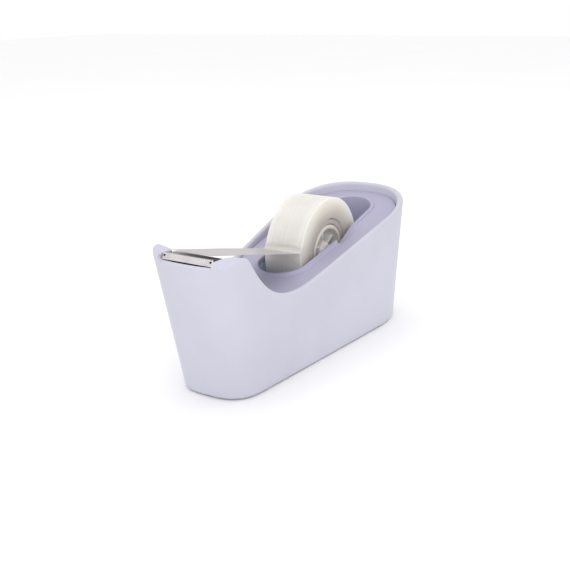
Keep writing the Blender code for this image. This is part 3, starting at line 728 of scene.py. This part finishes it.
class Finish:
    """A procedural material on one Principled shader. Its place is the object coordinate, in metres."""

    def __init__(self, name, colour, roughness, **constants):
        self.material = bpy.data.materials.new(name)
        self.material.use_nodes = True
        self.tree = self.material.node_tree
        self.shader = self.tree.nodes["Principled BSDF"]
        self.colour = tone(*colour)
        self.set("Base Color", (*self.colour, 1.0))
        self.set("Roughness", roughness)
        for socket, value in constants.items():
            self.set(socket.replace("_", " "), value)
        self.place = self.node("ShaderNodeTexCoord", {}).outputs["Object"]

    def set(self, socket, value):
        self.put(self.shader.inputs[socket], value)

    def put(self, socket, value):
        """Links a value to a socket, or sets the socket to a constant."""
        if isinstance(value, Signal):
            value = value.socket
        if isinstance(value, bpy.types.NodeSocket):
            self.tree.links.new(value, socket)
        else:
            socket.default_value = value

    def node(self, kind, settings, *values, **named):
        """A new node: its settings first, then its sockets by order or by name, with _ for a space."""
        made = self.tree.nodes.new(kind)
        for key, value in settings.items():
            setattr(made, key, value)
        for socket, value in zip(made.inputs, values):
            self.put(socket, value)
        for key, value in named.items():
            self.put(made.inputs[key.replace("_", " ")], value)
        return made

    def axes(self, centre=(0.0, 0.0, 0.0)):
        """The three coordinates, in metres from a centre, as signals."""
        moved = self.node("ShaderNodeVectorMath", {"operation": "SUBTRACT"}, self.place, centre).outputs[0]
        split = self.node("ShaderNodeSeparateXYZ", {}, moved).outputs
        return [Signal(self, split[k]) for k in range(3)]

    def noise(self, per_metre, detail=2.0, roughness=0.5, vector=None):
        """Fractal noise, as so many waves per metre of a vector or of the place."""
        made = self.node("ShaderNodeTexNoise", {"noise_dimensions": "3D"}, Vector=vector or self.place,
                         Scale=per_metre, Detail=detail, Roughness=roughness)
        return Signal(self, made.outputs[0])

    def line(self, x=0.0, y=0.0):
        """A vector with one changing coordinate, so that noise read along it varies that way alone."""
        return self.node("ShaderNodeCombineXYZ", {}, x, y, 0.0).outputs[0]

    def mix(self, factor, a, b):
        """A colour between a and b."""
        made = self.node("ShaderNodeMix", {"data_type": "RGBA"})
        self.put(made.inputs[0], factor)
        for socket, value in ((made.inputs[6], a), (made.inputs[7], b)):
            self.put(socket, (*value, 1.0) if isinstance(value, tuple) else value)
        return made.outputs[2]

    def clamp(self, signal, low, high):
        """A smooth step from 0 to 1 while a signal goes from one limit to the other."""
        made = self.node("ShaderNodeMapRange", {"interpolation_type": "SMOOTHSTEP"}, signal, low, high)
        return Signal(self, made.outputs[0])

    def bump(self, height, strength, distance):
        made = self.node("ShaderNodeBump", {}, Strength=strength, Distance=distance, Height=height)
        self.set("Normal", made.outputs[0])

    def dress(self, *objects):
        for item in objects:
            item.data.materials.clear()
            item.data.materials.append(self.material)


def moulded(name, colour, roughness=0.42, grain=0.10):
    """Satin moulded plastic: a faint drift of colour, spark-eroded grain and slow waves left by the tool."""
    finish = Finish(name, colour, roughness)
    drift = finish.noise(22.0, 3.0)
    speck = finish.noise(3200.0, 2.0, 0.6)
    darker = tuple(c * (1 - COLOUR_DRIFT) for c in finish.colour)
    lighter = tuple(min(1.0, c * (1 + COLOUR_DRIFT)) for c in finish.colour)
    uneven = finish.clamp(drift * 0.75 + speck * 0.25, 0.35, 0.65)
    finish.set("Base Color", finish.mix(uneven, darker, lighter))
    finish.set("Roughness", roughness - 0.05 + drift * 0.07 + speck * 0.05)
    finish.bump(speck * 0.8 + finish.noise(60.0, 1.0) * 0.4, grain, 0.00012)
    return finish


def film_finish():
    """Wound matte film: rings of slightly different milkiness on the sides, warmer towards the core, and
    bands along the tread where the layers lie unevenly."""
    finish = Finish("wound film", (226, 222, 216), 0.38, Subsurface_Weight=0.85, Subsurface_Scale=1.0,
                    Subsurface_Radius=(0.016, 0.0152, 0.0144))
    x, y, z = finish.axes((AXLE_X * MM, 0.0, AXLE_Z * MM))
    radius = (x * x + z * z) ** 0.5
    on_side = finish.clamp(abs(y), (TAPE_HALF_WIDTH - 0.3) * MM, (TAPE_HALF_WIDTH - 0.1) * MM)
    rings = finish.line(x=radius)
    fine = finish.noise(5200.0, 3.0, 0.65, rings)
    broad = finish.noise(700.0, 2.0, 0.5, rings)
    near_core = finish.clamp(radius, (CORE_RADIUS + 0.5) * MM, (TAPE_RADIUS - 1.0) * MM)
    warm = finish.mix(near_core, tone(203, 196, 184), tone(224, 219, 208))
    deep = finish.mix(near_core, tone(194, 186, 175), tone(217, 212, 201))
    side = finish.mix(finish.clamp(fine * 0.6 + broad * 0.4, 0.36, 0.64), deep, warm)
    bands = finish.noise(900.0, 2.0, 0.5, finish.line(y=y))
    cloud = finish.noise(140.0, 3.0)
    uneven = finish.clamp(bands * 0.6 + cloud * 0.4, 0.35, 0.65)
    tread = finish.mix(uneven, tone(216, 212, 207), tone(224, 220, 215))
    finish.set("Base Color", finish.mix(on_side, tread, side))
    finish.set("Roughness", 0.34 + on_side * 0.16 + cloud * 0.08)
    finish.bump(fine * on_side + bands * 0.25, 0.22, 0.00012)
    return finish


def strip_finish():
    """A single layer of frosted film, a little see-through, with faint lengthwise streaks."""
    finish = Finish("single film", (200, 195, 196), 0.3)
    x, y, _ = finish.axes()
    streak = finish.noise(1400.0, 2.0, 0.5, finish.line(y=y))
    cloud = finish.noise(160.0, 3.0)
    edge = finish.clamp(abs(y), (TAPE_HALF_WIDTH - 0.5) * MM, TAPE_HALF_WIDTH * MM)
    on_roll = finish.clamp(x, -14.0 * MM, -4.5 * MM)
    free = finish.mix(streak, tone(172, 166, 167), tone(190, 185, 185))
    finish.set("Base Color", finish.mix(on_roll, free, tone(222, 218, 213)))
    finish.set("Alpha", 0.80 + cloud * 0.08 + edge * 0.08)
    finish.set("Roughness", 0.24 + cloud * 0.14)
    finish.bump(streak * 0.6 + cloud * 0.4, 0.12, 0.0001)
    return finish


def hub_finish():
    """Cloudy natural plastic: a cream rim, and a paler interior with flow marks round the boss; the interior
    is painted lighter, as painted light for the shade within the hub.
    """
    finish = Finish("natural plastic", (196, 191, 184), 0.3, Coat_Weight=0.25, Coat_Roughness=0.2)
    x, _, z = finish.axes((AXLE_X * MM, 0.0, AXLE_Z * MM))
    radius = (x * x + z * z) ** 0.5
    rim = finish.clamp(radius, 10.2 * MM, 10.8 * MM)
    swirl = finish.noise(240.0, 4.0, 0.6)
    bright = finish.clamp(swirl, 0.40, 0.66)
    # Painted light: the interior's tones are raised to make up for the shade within the hub.
    interior_painted_lighter = finish.mix(bright, tone(224, 219, 214), tone(252, 250, 248))
    finish.set("Base Color", finish.mix(rim, interior_painted_lighter, tone(226, 218, 206)))
    finish.set("Roughness", 0.24 + swirl * 0.2)
    finish.bump(swirl, 0.15, 0.0002)
    return finish


def steel_finish(name, colour, roughness, stretch):
    """Steel with a drawn grain: noise squeezed along one axis gives lines in the direction of drawing."""
    finish = Finish(name, colour, roughness, Metallic=1.0)
    mapped = finish.node("ShaderNodeMapping", {}, Vector=finish.place, Scale=stretch).outputs[0]
    lines = finish.noise(2600.0, 3.0, 0.6, mapped)
    tarnish = finish.noise(300.0, 3.0)
    darker = tuple(c * 0.8 for c in finish.colour)
    worn = finish.clamp(lines * 0.6 + tarnish * 0.4, 0.3, 0.7)
    finish.set("Base Color", finish.mix(worn, darker, finish.colour))
    finish.set("Roughness", roughness - 0.06 + lines * 0.14)
    finish.bump(lines, 0.12, 0.00006)
    return finish


def blade_finish():
    """Bright pressed steel, drawn across the strip, with the flange that runs back from the teeth made
    rougher and coloured dark: the dark is painted shade and a painted dark reflection.
    """
    finish = steel_finish("bright blade", (228, 223, 224), 0.17, (1.0, 0.05, 1.0))
    x = finish.axes()[0]
    # Painted shade and a painted dark reflection: this mask colours the flange dark instead of letting it
    # fall dark under the lamps.
    flange_painted_dark = finish.clamp(x, -70.75 * MM, -70.5 * MM)
    bright = finish.shader.inputs["Base Color"].links[0].from_socket
    finish.set("Base Color", finish.mix(flange_painted_dark, bright, tone(112, 104, 101)))
    finish.set("Roughness", 0.14 + flange_painted_dark * 0.16 + finish.noise(900.0, 2.0) * 0.08)
    return finish


def rough_finish(name, colour, roughness, cells, depth, metallic=0.0):
    """A granular surface: small cells for colour and height, as on foam or a sand casting."""
    finish = Finish(name, colour, roughness, Metallic=metallic)
    cell = finish.node("ShaderNodeTexVoronoi", {"feature": "F1"}, Vector=finish.place, Scale=cells)
    pits = Signal(finish, cell.outputs[0])
    dust = finish.noise(cells * 0.5, 3.0)
    darker, lighter = tuple(c * 0.7 for c in finish.colour), tuple(c * 1.35 for c in finish.colour)
    finish.set("Base Color", finish.mix(pits * 0.6 + dust * 0.4, darker, lighter))
    finish.bump(pits * 0.7 + dust * 0.5, 0.5, depth)
    return finish


# ---------------------------------------------------------------- assembly

node = frame["nodes"]
shell_skin, deck_skin, blade_skin = casing(), deck(), blade()
tape_skin, core_skin, axle_skin, strip_skin = wound_tape(), core(), axle(), strip()
hubs = [hub("left", 1), hub("right", -1)]

moulded("lavender casing", (198, 197, 211)).dress(shell_skin)
moulded("deeper lavender deck", (173, 170, 194), 0.48).dress(deck_skin)
# Painted light: the cradle is coloured light blue, well above its slate grey, to make up for the dark well.
moulded("cradle painted lighter", (200, 218, 244), 0.5).dress(node["roll_cradle"])
moulded("cream core", (190, 181, 172), 0.45).dress(core_skin)
moulded("dark carrier", (86, 82, 82), 0.4).dress(node["blade_carrier"])
moulded("dark plate", (60, 60, 64), 0.55, 0.25).dress(node["base_plate"])
film_finish().dress(tape_skin)
strip_finish().dress(strip_skin)
hub_finish().dress(*hubs)
blade_finish().dress(blade_skin)
steel_finish("ground axle", (214, 214, 214), 0.26, (1.0, 0.05, 1.0)).dress(axle_skin)
screws = [node[n] for n in node if "screw" in n]
steel_finish("zinc plate", (160, 160, 168), 0.34, (1.0, 1.0, 1.0)).dress(*screws)
rough_finish("foam pad", (46, 46, 48), 0.92, 2200.0, 0.0003).dress(node["non_skid_pad"])
weights = [node[n] for n in node if "ballast" in n]
rough_finish("sand casting", (82, 79, 76), 0.7, 900.0, 0.0004, 0.5).dress(*weights)


# ---------------------------------------------------------------- floor, light and camera

FLOOR_REACH = 3.0
floor_mesh = bpy.data.meshes.new("floor")
corners = [(FLOOR_REACH * x, FLOOR_REACH * y, 0.0) for x, y in ((-1, -1), (1, -1), (1, 1), (-1, 1))]
floor_mesh.from_pydata(corners, [], [(0, 1, 2, 3)])
floor = bpy.data.objects.new("floor", floor_mesh)
bpy.context.scene.collection.objects.link(floor)
paper = Finish("white paper", (250, 250, 250), 0.9)
paper.set("Base Color", paper.mix(paper.noise(6.0), tone(249, 249, 249), tone(252, 252, 252)))
paper.dress(floor)


def light(name, place, target, size, power):
    """A square area light at a place, aimed at a target, in metres and watts."""
    data = bpy.data.lights.new(name, "AREA")
    data.shape = "SQUARE"
    data.size = size
    data.energy = power
    made = bpy.data.objects.new(name, data)
    made.location = place
    made.rotation_euler = (Vector(target) - Vector(place)).to_track_quat("-Z", "Y").to_euler()
    bpy.context.scene.collection.objects.link(made)


world = bpy.data.worlds.new("studio")
world.use_nodes = True
sky = world.node_tree.nodes["Background"].inputs
sky["Color"].default_value = (1.0, 1.0, 1.0, 1.0)
sky["Strength"].default_value = 1.0
bpy.context.scene.world = world
light("key", (-0.75, -0.35, 0.85), (0.0, 0.0, 0.03), 0.7, 0.7)
light("top", (0.1, 0.1, 1.1), (0.0, 0.0, 0.0), 1.0, 1.6)
light("fill", (-0.62, -0.48, 0.36), (0.0, 0.0, 0.04), 0.6, 0.8)

# The camera looks along -back. Its right and up are turned by the roll.
back = Vector((math.sin(VIEW_AZIMUTH) * math.cos(VIEW_ELEVATION),
               -math.cos(VIEW_AZIMUTH) * math.cos(VIEW_ELEVATION), math.sin(VIEW_ELEVATION)))
right = Vector((math.cos(VIEW_AZIMUTH), math.sin(VIEW_AZIMUTH), 0.0))
up = back.cross(right)
turned_right = right * math.cos(VIEW_ROLL) + up * math.sin(VIEW_ROLL)
turned_up = up * math.cos(VIEW_ROLL) - right * math.sin(VIEW_ROLL)
camera_data = bpy.data.cameras.new("camera")
camera_data.sensor_width = CAMERA_SENSOR
camera_data.lens = CAMERA_LENS
camera_data.clip_start = 0.01
camera = bpy.data.objects.new("camera", camera_data)
turned_axes = Matrix((turned_right, turned_up, back)).transposed().to_4x4()
camera.matrix_world = Matrix.Translation(Vector(CAMERA_AIM) + back * CAMERA_DISTANCE) @ turned_axes
bpy.context.scene.collection.objects.link(camera)
bpy.context.scene.camera = camera
bpy.context.scene.view_settings.view_transform = "Standard"

bpy.context.view_layer.update()
